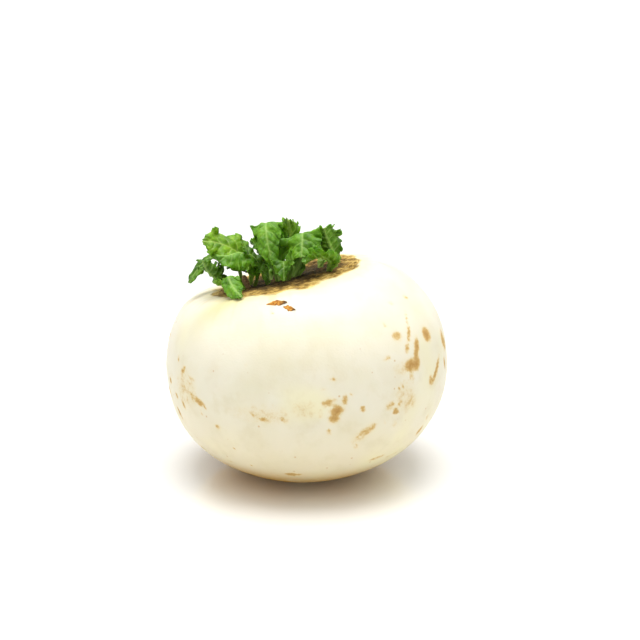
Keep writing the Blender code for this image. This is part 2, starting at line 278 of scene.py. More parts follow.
# Scuffs, where the skin was rubbed in the ground and healed to tan cork: azimuth from the -Y side
# toward +X in degrees, height in mm, width and height of the mark in mm, its slant in degrees, and
# how much of it is corky.
SCUFFS = (
    # The right shoulder: spots, a streak, a bar with a foot, and a slanted cut.
    (62.9, 80.9, 3, 2.2, 0, 0.65), (48.9, 80.9, 3.2, 2, 0, 0.5), (38, 74.7, 2, 2, 0, 0.6),
    (52.5, 75, 1.3, 8, -33, 0.6), (49, 69.5, 2, 8, -33, 0.85), (45.5, 65, 2.4, 5, -33, 0.75),
    (42, 70, 4.6, 4, 0, 0.75), (61.4, 67, 6, 6, 0, 1.0), (51.3, 63.7, 3, 9, -25, 1.0),
    (46.2, 58.1, 8, 5.4, 0, 1.0), (49.5, 58.3, 4, 6, -20, 1.0), (63.5, 51.5, 2.5, 12, -42, 1.0),
    (58.3, 48.8, 3.2, 4, 0, 0.85), (34, 63.2, 4, 1.6, 15, 0.7), (42, 57.8, 12, 7, 0, 0.4),
    (45.5, 53.5, 3, 3, 0, 0.5),
    # Below it: dots, a pale patch and a wide sprinkling of freckles.
    (38.5, 50.7, 1.6, 1.4, 0, 0.75), (40.6, 50.5, 1.4, 1.4, 0, 0.75), (42, 46, 13, 15, 0, 0.4),
    (34.5, 43.7, 4.5, 3.5, 20, 0.65), (37.2, 40.8, 3, 2.6, 0, 0.95),
    (38.9, 43.8, 1.8, 3.2, -20, 0.8), (45, 43, 7, 6, 0, 0.5), (32.3, 37.2, 1.3, 1.3, 0, 0.75),
    (37.5, 35.1, 2.5, 3.2, 0, 0.5), (57.9, 26, 3, 5, -30, 0.8), (60.2, 31.5, 2.5, 3, 0, 0.55),
    (22.2, 44.6, 2.2, 2.2, 0, 0.95),
    # The front: a torn patch, spots round it, and a long pale scrape lower down.
    (15, 49.2, 2.4, 4.2, -10, 0.75), (8.8, 48.6, 6, 3.2, 15, 0.75), (12, 45, 5.5, 4, 15, 1.0),
    (10.8, 41.5, 4.5, 4, 20, 0.9), (10.9, 57.8, 2, 2, 0, 0.65), (6.6, 54, 2.8, 1.5, 0, 0.4),
    (17.7, 51.4, 1.2, 1.2, 0, 0.75), (5.5, 43.2, 2.8, 2.4, 0, 0.5), (9, 36, 2.2, 2.8, 0, 0.65),
    (23.8, 34, 12, 4.4, 38, 0.6), (26.5, 36, 4, 3, 45, 0.7), (20.9, 27.8, 1.8, 3.2, 0, 0.6),
    # The left side: short nicks, a patch, and a band of freckles toward the front.
    (-61.7, 56.6, 1.8, 2.4, 0, 0.75), (-56.3, 53.5, 1.8, 5, -40, 0.9),
    (-69.6, 45.2, 3, 3, 0, 0.9), (-50.9, 52, 3.5, 1.6, 0, 0.7), (-54.3, 46.5, 3, 2, -20, 0.7),
    (-63.3, 40.7, 3.4, 2.4, -30, 0.7), (-49.7, 44, 2.6, 4, 10, 0.75),
    (-45.4, 42.9, 6.5, 3, -15, 0.85), (-57.3, 38.6, 2, 5, 40, 0.75),
    (-64.3, 32.5, 2.5, 6, 35, 0.85), (-44.9, 38.2, 1.6, 2, 0, 0.55),
    (-42.4, 41.5, 1.5, 1.5, 0, 0.8), (-54, 46, 17, 17, 0, 0.4), (-37, 33.9, 2.8, 2.4, 0, 0.75),
    (-20.3, 41.9, 1.6, 1.2, 0, 0.85), (-17.1, 41, 4.8, 1.5, 0, 0.8), (-8.1, 41, 3.6, 2, 0, 0.65),
    (-8.8, 46, 1.8, 1.2, 0, 0.55), (-2, 47, 3, 2.4, 0, 0.45), (-16, 43, 26, 9, 0, 0.36),
    (0, 45.5, 14, 8, 0, 0.36), (-23.9, 61.5, 1.4, 1.6, 0, 0.45), (-10, 65, 1.6, 1.6, 0, 0.45),
    # Round the base, and one spot near the crown.
    (34, 19, 8, 2.4, 10, 0.6), (44, 17.7, 8, 2.2, 12, 0.5), (-6.4, 13.7, 7, 3, 3, 0.85),
    (-14, 12, 9, 2, 0, 0.4), (8, 10.5, 20, 2, 2, 0.4), (-39.4, 15.5, 8, 2, 0, 0.35),
    (-26, 16.4, 1.3, 1.3, 0, 0.9), (-31.5, 24.7, 1.2, 1, 0, 0.75), (-17.5, 80.3, 2, 1, 0, 0.75),
    # The sides and the back: patches with streaks, loose spots, and freckles between them.
    (78, 60, 6, 9, 10, 0.85), (75, 51, 3, 6, 25, 0.75), (84, 44, 5, 5, 0, 0.7),
    (96, 70, 3, 4, 0, 0.6), (90, 47, 22, 18, 0, 0.38), (104, 38, 11, 4, -15, 0.75),
    (108, 33, 5, 3, 10, 0.6), (112, 58, 3.4, 11, 12, 0.85), (115, 52, 6, 5, 0, 1.0),
    (128, 49, 6, 4, 0, 0.6), (134, 44, 30, 16, 0, 0.38), (137, 66, 3, 3, 0, 0.7),
    (146, 33, 9, 5, 25, 0.7), (156, 57, 2, 10, -20, 0.8), (158, 50, 6, 5, 0, 0.95),
    (162, 47, 3, 4, 20, 0.8), (171, 42, 4, 3, 0, 0.6), (176, 63, 16, 12, 0, 0.36),
    (183, 61, 1.8, 9, -8, 0.75), (192, 36, 8, 3.4, 10, 0.75), (199, 33, 2, 2, 0, 0.8),
    (203, 52, 7, 6, 0, 0.9), (207, 57, 2.4, 8, 15, 0.85), (209, 45, 28, 18, 0, 0.38),
    (218, 68, 3, 3, 0, 0.6), (226, 40, 4, 8, 20, 0.85), (231, 36, 3, 2, 0, 0.65),
    (241, 56, 4, 4, 0, 0.6), (247, 61, 1.6, 7, 10, 0.7), (252, 33, 10, 4, -20, 0.75),
    (258, 50, 24, 16, 0, 0.38), (263, 47, 3, 7, 0, 0.75), (267, 43, 5, 3, 0, 0.85),
    (275, 60, 4, 3, 0, 0.6), (283, 38, 6, 5, 15, 0.8), (100, 20, 12, 3, 5, 0.55),
    (160, 18, 14, 3, -5, 0.55), (230, 19, 12, 3, 8, 0.55), (300, 17, 10, 3, 0, 0.5),
)


SCUFF_EDGE = 0.85  # d at the edge of a mark, where exp(-d^3) has fallen to about a half


def scuff_field(points):
    """How corky the skin is from 0 to 1: the strongest of the scuffs at each point.

    Each scuff is its strength times exp(-d^3), with d the distance from its middle as a share of
    its size, turned by its slant. Sideways is along the root's girth, and upward is up its slope.
    """
    from_heart = points - HEART
    azimuth = np.degrees(np.arctan2(from_heart[:, 0], -from_heart[:, 1]))
    girth = np.hypot(from_heart[:, 0], from_heart[:, 1])
    field = np.zeros(len(points))
    slope = np.sqrt(np.maximum(0.15, 1 - (from_heart[:, 2] / ROOT_HALF_HEIGHT) ** 2))
    for place, height, width, tall, slant, strength in SCUFFS:
        turn = (azimuth - place + 180) % 360 - 180
        sideways = np.radians(turn) * girth
        upward = (points[:, 2] - height * MM) / slope
        angle = math.radians(slant)
        x = sideways * math.cos(angle) + upward * math.sin(angle)
        y = upward * math.cos(angle) - sideways * math.sin(angle)
        reach = 2 * SCUFF_EDGE * np.hypot(x / (width * MM), y / (tall * MM))
        field = np.maximum(field, strength * np.exp(-(reach**3)))
    return field


def root_directions():
    """Unit directions on rings about the crown's axis, close together over the crown.

    They are cos(swing) along the axis and sin(swing) away from it, and each one's turn about the
    axis is given too. The first and the last are the poles.
    """
    swings = np.concatenate([
        np.linspace(0, CROWN_SWING, CROWN_RINGS, endpoint=False),
        np.linspace(CROWN_SWING, math.pi, BODY_RINGS),
    ])[1:-1]
    turns = np.linspace(0, 2 * math.pi, ROOT_SIDES, endpoint=False)
    swing, turn = np.meshgrid(swings, turns, indexing="ij")
    swing = np.concatenate([[0.0], swing.ravel(), [math.pi]])
    turn = np.concatenate([[0.0], turn.ravel(), [0.0]])
    around = np.cos(turn)[:, None] * CROWN_ACROSS + np.sin(turn)[:, None] * CROWN_BACK
    return np.cos(swing)[:, None] * CROWN_AXIS + np.sin(swing)[:, None] * around, turn


def ringed_faces(count):
    """Faces between the rings of a number of points, with a fan of triangles at each pole."""
    rings = np.arange(1, count - 1).reshape(-1, ROOT_SIDES)
    beside = np.roll(rings, -1, axis=1)
    bands = np.stack([rings[:-1], rings[1:], beside[1:], beside[:-1]], axis=-1).reshape(-1, 4)
    top = np.stack([np.zeros_like(rings[0]), rings[0], beside[0]], axis=-1)
    bottom = np.stack([np.full_like(rings[-1], count - 1), beside[-1], rings[-1]], axis=-1)
    return bands.tolist() + top.tolist() + bottom.tolist()


def root_surface():
    """The root's points, and what its material reads at each of them.

    Each direction's radius comes from root_radius, dished lowers the crown, and fibres, scars and
    lumps move the surface outward or inward by fractions of a millimetre.
    """
    directions, turn = root_directions()
    uncut = root_radius(directions)[:, None] * directions
    heights = uncut @ CROWN_AXIS
    across, back = uncut @ CROWN_ACROSS, uncut @ CROWN_BACK
    points = uncut + (dished(heights, across, back) - heights)[:, None] * CROWN_AXIS
    radius = np.hypot(across, back)

    # Rings of dried fibre: noise stretched round the crown, so it runs parallel to the rim.
    ring = np.stack([np.cos(turn), np.sin(turn)])
    fibre_place = np.stack([*(ring * FIBRE_RING), radius * 1.9], axis=-1)
    ragged = noise(points, 7 * MM, 3, 3) * 1.6 * MM + noise(fibre_place, 3 * MM, 8, 2) * 0.9 * MM
    front = heights > 0
    spread = CROWN_SPREAD * np.cos(turn - CROWN_SPREAD_TURN)
    inside = CROWN_RADIUS - radius + ragged + spread
    crown = smooth_step(-1.1 * MM, 1.1 * MM, inside) * front
    streaks = noise(fibre_place, 2.4 * MM, 5, 3)
    fine = noise(fibre_place, 0.9 * MM, 6, 2)
    deep, lip = scar_field(across + noise(points, 5 * MM, 21) * 0.8 * MM, back)
    worn = smooth_step(0, 3.5 * MM, inside) * front
    pits = smooth_step(0.35, 0.8, noise(points, 3.2 * MM, 12, 2)) * worn
    lumpy = noise(points, 1.5 * MM, 15, 3)
    relief = worn * (0.1 * streaks + 0.1 * fine + 0.16 * lumpy + 0.2 * lip) * MM
    relief -= worn * (0.4 * deep + 0.8 * pits) * MM

    # Faint creases fan down the shoulder from the rim.
    crease_place = np.stack([*(ring * CREASE_RING), radius * 0.25], axis=-1)
    shoulder = smooth_step(15 * MM, 0, np.abs(radius - CROWN_RADIUS - 6 * MM)) * front
    creases = noise(crease_place, 4.5 * MM, 14, 2)
    relief += shoulder * (1 - crown) * 0.16 * MM * creases
    lumps = 0.45 * noise(points, 34 * MM, 40) + 0.16 * noise(points, 12 * MM, 41)
    relief += (lumps + 0.02 * noise(points, 2.5 * MM, 42, 2)) * MM * (1 - 0.6 * worn)
    scuffs = scuff_field(HEART + points)
    relief -= SCUFF_DEPTH * scuffs
    points = HEART + points + relief[:, None] * unit(directions + 0.8 * worn[:, None] * CROWN_AXIS)
    points[:, 2] = np.where(points[:, 2] < 0, 0, points[:, 2])

    left_shoulder = ((across + 24 * MM) / (14 * MM)) ** 2 + ((back + 29 * MM) / (6 * MM)) ** 2
    return points, {
        "crown": crown,
        # Darkening with depth inside the rim: the fibre's own brown and painted shade under the
        # leaves.
        "crown_depth": np.clip(inside / (30 * MM), 0, 0.55),
        "stain": 0.55 * smooth_step(-11 * MM, 0, inside) ** 2 * front,
        "scar": np.clip(0.5 * deep * worn + 0.7 * pits, 0, 0.8),
        "fibre_place": fibre_place,
        "scuff": scuffs,
        "crease": 0.4 * shoulder * smooth_step(0.25, 0.9, creases),
        "shoulder_green": 0.55 * np.exp(-left_shoulder) * front,
    }


def flesh_colour(tree, place, height):
    """White with slow clouds of cream, painted darker and warmer below as shade, and ochre near the
    ground: partly the root's own colour, partly painted warm light bounced up from the floor.
    """
    cloud = add(tree, "ShaderNodeTexNoise", {"Vector": place, "Scale": 1 / (26 * MM), "Detail": 3})
    skin = add(tree, "ShaderNodeValToRGB", {
        "Fac": cloud, "stops": [(0.3, "#DCD6BC"), (0.55, "#E2DDC9"), (0.8, "#DCD6C0")],
    })
    # Painted shade: the skin turns darker and warmer toward the ground.
    low = add(tree, "ShaderNodeMapRange", {"Value": height, 1: 46 * MM, 2: 2 * MM, 4: 0.9})
    skin = add(tree, "ShaderNodeMix", {**COLOURS, 0: low, 6: skin, 7: "#DCCEA8"}, 2)
    # Ochre at the base: partly the root's own colour, partly painted warm light bounced from the
    # floor.
    base = add(tree, "ShaderNodeMapRange", {
        **SOFT_ENDS, "Value": height, 1: 17 * MM, 2: 4 * MM, 4: 0.97})
    skin = add(tree, "ShaderNodeMix", {**COLOURS, 0: base, 6: skin, 7: "#C99A2C"}, 2)
    drift = add(tree, "ShaderNodeTexNoise", {"Vector": place, "Scale": 1 / (31 * MM), "Detail": 1})
    yellow = add(tree, "ShaderNodeMapRange", {
        **SOFT_ENDS, "Value": drift, 1: 0.54, 2: 0.75, 4: 0.4})
    skin = add(tree, "ShaderNodeMix", {**COLOURS, 0: yellow, 6: skin, 7: "#EDE8B4"}, 2)
    # Green where light reached it, yellow round the crown, and tan along the creases.
    tints = {"shoulder_green": "#BDB663", "stain": "#E8D996", "crease": "#D9C286"}
    for name, colour in tints.items():
        tint = add(tree, "ShaderNodeAttribute", {"attribute_name": name}, "Fac")
        skin = add(tree, "ShaderNodeMix", {**COLOURS, 0: tint, 6: skin, 7: colour}, 2)
    return skin


def with_soil(tree, place, height, skin):
    """Faint clouds of soil stain, from the girdle down."""
    soil = add(tree, "ShaderNodeTexNoise", {
        "Vector": place, "Scale": 1 / (11 * MM), "Detail": 6, "Roughness": 0.62})
    soil = add(tree, "ShaderNodeMapRange", {**SOFT_ENDS, "Value": soil, 1: 0.47, 2: 0.72, 4: 0.5})
    lower_half = add(tree, "ShaderNodeMapRange", {"Value": height, 1: 82 * MM, 2: 42 * MM, 3: 0.2})
    soil = add(tree, "ShaderNodeMath", {"operation": "MULTIPLY", 0: soil, 1: lower_half})
    return add(tree, "ShaderNodeMix", {**COLOURS, 0: soil, 6: skin, 7: "#D4CAA8"}, 2)


def with_cork(tree, place, skin):
    """Cork as ragged noise that shows where a scuff is strong, and how much of it there is.

    It is straw where it is thin, and tan where it is thick, with a soft halo round it.
    """
    scuff = add(tree, "ShaderNodeAttribute", {"attribute_name": "scuff"}, "Fac")
    halo = add(tree, "ShaderNodeMapRange", {**SOFT_ENDS, "Value": scuff, 1: 0.02, 2: 0.8, 4: 0.5})
    skin = add(tree, "ShaderNodeMix", {**COLOURS, 0: halo, 6: skin, 7: "#E3D0A0"}, 2)
    ragged = add(tree, "ShaderNodeTexNoise", {
        "Vector": place, "Scale": 1 / (2.8 * MM), "Detail": 7, "Roughness": 0.78})
    raised = add(tree, "ShaderNodeMath", {
        "operation": "MULTIPLY_ADD", 0: scuff, 1: 0.7, 2: ragged})
    cork = add(tree, "ShaderNodeMapRange", {**SOFT_ENDS, "Value": raised, 1: 0.66, 2: 1.0, 4: 0.95})
    thickness = add(tree, "ShaderNodeMapRange", {"Value": raised, 1: 0.7, 2: 1.3})
    cork_colour = add(tree, "ShaderNodeValToRGB", {
        "Fac": thickness, "stops": [(0.1, "#D9C690"), (0.45, "#C7A566"), (0.85, "#AF8444")]})
    return add(tree, "ShaderNodeMix", {**COLOURS, 0: cork, 6: skin, 7: cork_colour}, 2), cork


def with_lenticels(tree, place, height, skin):
    """Lenticels: sparse pale-brown specks under a millimetre wide, most on the lower half."""
    cell_settings = {"Vector": place, "Scale": 1 / (4.5 * MM)}
    cells = add(tree, "ShaderNodeTexVoronoi", cell_settings, "Distance")
    chosen = add(tree, "ShaderNodeTexVoronoi", cell_settings, "Color")
    chosen = add(tree, "ShaderNodeSeparateXYZ", {"Vector": chosen}, "X")
    speck = add(tree, "ShaderNodeMapRange", {**SOFT_ENDS, "Value": cells, 1: 0.13, 2: 0.06})
    girdle = add(tree, "ShaderNodeMapRange", {"Value": height, 1: 78 * MM, 2: 40 * MM, 4: 0.35})
    shown = add(tree, "ShaderNodeMath", {"operation": "LESS_THAN", 0: chosen, 1: girdle})
    speck = add(tree, "ShaderNodeMath", {"operation": "MULTIPLY", 0: speck, 1: shown})
    speck = add(tree, "ShaderNodeMath", {"operation": "MULTIPLY", 0: speck, 1: 0.55})
    return add(tree, "ShaderNodeMix", {**COLOURS, 0: speck, 6: skin, 7: "#C39A58"}, 2)


def crown_colour(tree, place, rings):
    """Dried fibre, straw yellow at the crown's rim and dark brown between the shoots.

    It darkens with depth inside the rim: partly the fibre's own brown, partly painted shade under
    the leaves.
    """
    streak = add(tree, "ShaderNodeTexNoise", {
        "Vector": rings, "Scale": 1 / (2.4 * MM), "Detail": 7, "Roughness": 0.72,
        "Distortion": 0.5})
    patch = add(tree, "ShaderNodeTexNoise", {
        "Vector": place, "Scale": 1 / (6 * MM), "Detail": 6, "Roughness": 0.7})
    # Deeper inside the rim the fibre is darker: its own brown, and painted shade under the leaves.
    depth = add(tree, "ShaderNodeAttribute", {"attribute_name": "crown_depth"}, "Fac")
    tone = add(tree, "ShaderNodeMath", {"operation": "MULTIPLY_ADD", 0: streak, 1: 1.2, 2: depth})
    tone = add(tree, "ShaderNodeMath", {"operation": "MULTIPLY_ADD", 0: patch, 1: 1.2, 2: tone})
    tone = add(tree, "ShaderNodeMath", {"operation": "SUBTRACT", 0: tone, 1: 0.83})
    fibre = add(tree, "ShaderNodeValToRGB", {"Fac": tone, "stops": [
        (0.0, "#EBDCA2"), (0.2, "#D3B770"), (0.4, "#AE8F49"), (0.58, "#745A28"),
        (0.76, "#483817"), (1.0, "#2C220D"),
    ]})
    scar = add(tree, "ShaderNodeAttribute", {"attribute_name": "scar"}, "Fac")
    return add(tree, "ShaderNodeMix", {**COLOURS, 0: scar, 6: fibre, 7: "#463514"}, 2)


def skin_material():
    """Turnip skin: living waxy periderm over white flesh, dug, washed and dried.

    It reads as creamy white that lets light in a little, with tan cork where it healed, and dull
    brown fibre on the crown.
    """
    made, tree, shader = new_material("Waxy white turnip skin")
    place = add(tree, "ShaderNodeTexCoord", {}, "Object")
    height = add(tree, "ShaderNodeSeparateXYZ", {"Vector": place}, "Z")
    rings = add(tree, "ShaderNodeAttribute", {"attribute_name": "fibre_place"}, "Vector")
    skin = with_soil(tree, place, height, flesh_colour(tree, place, height))
    skin, cork = with_cork(tree, place, skin)
    skin = with_lenticels(tree, place, height, skin)
    fibre = crown_colour(tree, place, rings)
    crown = add(tree, "ShaderNodeAttribute", {"attribute_name": "crown"}, "Fac")
    skin = add(tree, "ShaderNodeMix", {**COLOURS, 0: crown, 6: skin, 7: fibre}, 2)

    dull = add(tree, "ShaderNodeMath", {"operation": "MAXIMUM", 0: crown, 1: cork})
    rough = add(tree, "ShaderNodeMapRange", {"Value": dull, 3: 0.38, 4: 0.85})
    grain = add(tree, "ShaderNodeTexNoise", {
        "Vector": place, "Scale": 1 / (0.9 * MM), "Detail": 3})
    thread = add(tree, "ShaderNodeTexNoise", {
        "Vector": rings, "Scale": 1 / (0.8 * MM), "Detail": 3})
    relief = add(tree, "ShaderNodeMix", {0: crown, 2: grain, 3: thread})
    bump = add(tree, "ShaderNodeBump", {"Strength": 0.25, "Distance": 0.3 * MM, "Height": relief})
    give(tree, shader, {
        "Base Color": skin, "Roughness": rough, "Normal": bump, "IOR": 1.42,
        "Specular IOR Level": 0.25, "Subsurface Weight": 0.15,
        "Subsurface Radius": (1.0, 0.7, 0.4), "Subsurface Scale": 3 * MM})
    return made


root_points, root_values = root_surface()
root_faces = ringed_faces(len(root_points))
root = mesh_object("turnip_root_skin", root_points, root_faces, skin_material(), **root_values)
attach(root, "root")
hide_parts("turnip_root")

# ---------------------------------------------------------------------------------------------
# The leaves: three shoots of young turnip leaves, grown from buds in the cut crown. Each has a
# soft stalk that runs on as a pale midrib, and a thin puckered blade whose toothed margins curl.
# ---------------------------------------------------------------------------------------------
STATIONS = 141  # along a leaf
LANES = 31  # from its midrib to a margin
BLADE_THICKNESS = 0.4 * MM
STALK_THICKNESS = 1.6 * MM
RIB_HALF_WIDTH = 0.45 * MM
LEAST_HALF_WIDTH = 0.35 * MM
LEAST_THICKNESS = 0.1 * MM
SWELL = 0.7 * MM  # of the blade between its side veins
CRUMPLE = 0.85 * MM
PUCKER = 0.4 * MM
ROOTED = 0.5 * MM  # how deep a stalk's foot is grown into the crown

# Each leaf: the way it leans about the crown's axis, its twist at foot and tip where it has one,
# the fold at its midrib and the curl out to its margins (degrees, positive turns the margins up),
# how strongly its margins ruffle (degrees) and in how many waves where not in 3, its teeth's depth
# (share of half width) and number a side, and its midrib from foot to tip as (across, back, rise
# above the crown's own surface, half width) in mm.
LEAVES = {
    "left_top_leaf": dict(
        slot="young_leaf", heading=190, twist=(-20, -50), fold=10, curl=-30, ruffle=55,
        teeth=0.3, tooth_count=8, midrib=(
            (-14.5, 2, 0, 1.4), (-12.5, 1, 7, 5.4), (-14.5, -1, 12.5, 8.6),
            (-18, -4, 17.5, 9.2), (-23, -7, 21, 7.2), (-28, -9, 23, 1.4))),
    "left_drooping_leaf": dict(
        slot="deep_leaf", heading=190, twist=(0, -30), fold=10, curl=-60, ruffle=45,
        teeth=0.3, tooth_count=7, midrib=(
            (-18, 9, 0, 1.2), (-18.5, 8, 8, 2.4), (-22.5, 5, 14.5, 4.0),
            (-28.5, 2, 14, 4.8), (-34, 0, 11, 4.0), (-39, -3, 7, 0.9))),
    "left_side_leaf": dict(
        slot="full_leaf", heading=195, twist=(-10, -10), fold=-25, curl=-45, ruffle=45,
        teeth=0.25, tooth_count=8, midrib=(
            (-12, -4, 0, 1.3), (-8, -7.5, 7, 4.6), (-9.5, -10.5, 13, 7.0),
            (-14, -12, 15.5, 7.4), (-19, -14, 15.5, 6.2), (-23, -15.5, 16.5, 1.2))),
    "left_curled_leaf": dict(
        slot="deep_leaf", heading=215, twist=(0, 30), fold=10, curl=70, ruffle=80, waves=4,
        teeth=0.35, tooth_count=8, midrib=(
            (-21, -7.5, 0, 1.2), (-23.5, -12, 4.5, 3.0), (-26.5, -14.5, 8, 4.6),
            (-28.5, -16, 12, 4.6), (-29, -16, 16, 1.2))),
    "left_outer_leaf": dict(
        slot="deep_leaf", heading=200, fold=0, curl=60, ruffle=70,
        teeth=0.3, tooth_count=5, midrib=(
            (-20, -13, 0, 1.0), (-22, -16, 3.5, 2.2), (-24.5, -18.5, 5, 3.2),
            (-27, -19.5, 7, 0.9))),
    "left_low_leaf": dict(
        slot="full_leaf", heading=270, fold=-10, curl=-40, ruffle=35,
        teeth=0.2, tooth_count=7, midrib=(
            (-16.5, -12, 0, 1.2), (-19, -16, 6, 3.0), (-20, -21, 7.5, 4.2),
            (-18.5, -27, 4, 4.6), (-15.5, -32, 1.4, 0.9))),
    "middle_side_leaf": dict(
        slot="deep_leaf", heading=190, twist=(-20, -20), fold=20, curl=-40, ruffle=45,
        teeth=0.25, tooth_count=7, midrib=(
            (-6, -9.5, 0, 1.2), (-6.5, -10.5, 4, 4.2), (-8.5, -10, 8.5, 6.4),
            (-10.5, -8.5, 13, 6.0), (-12, -6.5, 17, 1.4))),
    "middle_back_leaf": dict(
        slot="full_leaf", heading=160, fold=15, curl=30, ruffle=55,
        teeth=0.3, tooth_count=7, midrib=(
            (-6, 5, 0, 1.2), (-7, 8, 6.5, 4.4), (-8.5, 9, 12.5, 6.4), (-10.5, 8.5, 18, 1.2))),
    "middle_folded_leaf": dict(
        slot="full_leaf", heading=270, fold=-5, curl=-35, ruffle=35, waves=2.5,
        teeth=0.18, tooth_count=10, midrib=(
            (-2, -6, 0, 1.2), (-1.5, -3.5, 9, 3.0), (-1, -4, 19, 6.2), (-0.5, -7, 25, 6.8),
            (-1, -12, 22, 6.4), (-1.5, -15.5, 15, 5.0), (-1, -17, 8, 0.9))),
    "middle_far_leaf": dict(
        slot="deep_leaf", heading=90, fold=10, curl=40, ruffle=50,
        teeth=0.3, tooth_count=7, midrib=(
            (-1, 4, 0, 1.2), (0.5, 5.5, 8.5, 3.6), (1.5, 6, 16.5, 5.6), (2, 5.5, 23, 1.4))),
    "middle_tip_leaf": dict(
        slot="young_leaf", heading=250, fold=10, curl=50, ruffle=75,
        teeth=0.35, tooth_count=6, midrib=(
            (2.5, 0, 0, 1.0), (5, 1.5, 8, 2.6), (7, 2, 15, 4.2),
            (7.5, 1, 20, 4.4), (8, -1, 23.5, 1.2))),
    "middle_wavy_leaf": dict(
        slot="full_leaf", heading=270, fold=0, curl=-30, ruffle=60, waves=3.5,
        teeth=0.2, tooth_count=9, midrib=(
            (5, -6.5, 0, 1.3), (9, -3.5, 6, 4.0), (12, -4.5, 13, 8.0),
            (13, -8, 17, 8.8), (12, -12.5, 13, 8.2), (10.5, -16, 8, 3.8))),
    "middle_low_leaf": dict(
        slot="deep_leaf", heading=270, fold=15, curl=60, ruffle=40,
        teeth=0.2, tooth_count=7, midrib=(
            (2, -11.5, 0, 1.2), (3, -16, 5, 3.8), (3.5, -20.5, 8.5, 5.2),
            (3, -24.5, 6, 4.8), (2, -27, 2, 1.0))),
    "right_upper_leaf": dict(
        slot="full_leaf", heading=270, fold=10, curl=25, ruffle=50,
        teeth=0.32, tooth_count=7, midrib=(
            (22, -8, 0, 1.2), (23, -7, 4.5, 3.4), (22.5, -7, 9.5, 5.6),
            (22, -7.5, 13.5, 6.2), (22, -8.5, 17, 2.8))),
    "right_lower_leaf": dict(
        slot="full_leaf", heading=205, fold=10, curl=50, ruffle=50,
        teeth=0.3, tooth_count=7, midrib=(
            (20, -13.5, 0, 1.2), (21.5, -17, 4.5, 3.4), (19, -20, 7.5, 5.4),
            (15.5, -21.5, 7.5, 5.2), (11.5, -23.5, 6.5, 1.2))),
    "right_back_leaf": dict(
        slot="young_leaf", heading=250, fold=10, curl=40, ruffle=70,
        teeth=0.35, tooth_count=5, midrib=(
            (15.5, 1.5, 0, 1.0), (17.5, 4, 5, 2.6), (18.5, 5, 8.5, 3.8), (20, 5, 12, 1.0))),
}

# Painted shade, middle and painted light greens of each slot's blades, and the pale green of
# their veins.
LEAF_GREENS = {
    "young_leaf": ("#3D6602", "#628D05", "#8DB31E", "#B0C866"),
    "full_leaf": ("#325A03", "#53840A", "#7DAB2A", "#9FBE62"),
    # Painted shade: a darker copy of the leaf greens for the leaves that sit in the shade of
    # others.
    "deep_leaf": ("#284C03", "#4A7508", "#729A26", "#92B15A"),
}


def smooth_path(points, count):
    """Evenly numbered stations on a Catmull-Rom curve through the points.

    Between b and c, with neighbours a and d and t from 0 to 1:
    0.5 (2b + (c-a) t + (2a-5b+4c-d) t^2 + (3b-a-3c+d) t^3).
    """
    points = np.asarray(points, float)
    padded = np.vstack([2 * points[0] - points[1], points, 2 * points[-1] - points[-2]])
    stations = np.linspace(0, len(points) - 1, count)
    spans = np.minimum(stations.astype(int), len(points) - 2)
    t = (stations - spans)[:, None]
    a, b, c, d = (padded[spans + i] for i in range(4))
    return 0.5 * (
        2 * b + (c - a) * t + (2 * a - 5 * b + 4 * c - d) * t**2 + (3 * b - a - 3 * c + d) * t**3
    )


def sheet_normals(grid):
    """Unit normals of a grid of points, from the cross product of its two directions."""
    return unit(np.cross(np.gradient(grid, axis=0), np.gradient(grid, axis=1)) + 1e-15)


def shell_faces(rows, lanes):
    """Faces of a closed shell: an upper and a lower grid, joined round their edge."""
    upper = np.arange(rows * lanes).reshape(rows, lanes)
    lower = upper + rows * lanes
    top = np.stack([upper[:-1, :-1], upper[1:, :-1], upper[1:, 1:], upper[:-1, 1:]], -1)
    under = np.stack([lower[:-1, :-1], lower[:-1, 1:], lower[1:, 1:], lower[1:, :-1]], -1)
    edge = np.concatenate([upper[0, :-1], upper[:-1, -1], upper[-1, :0:-1], upper[:0:-1, 0]])
    after = np.roll(edge, -1)
    below = rows * lanes
    wall = np.stack([edge, after, after + below, edge + below], -1)
    return np.concatenate([top.reshape(-1, 4), under.reshape(-1, 4), wall])


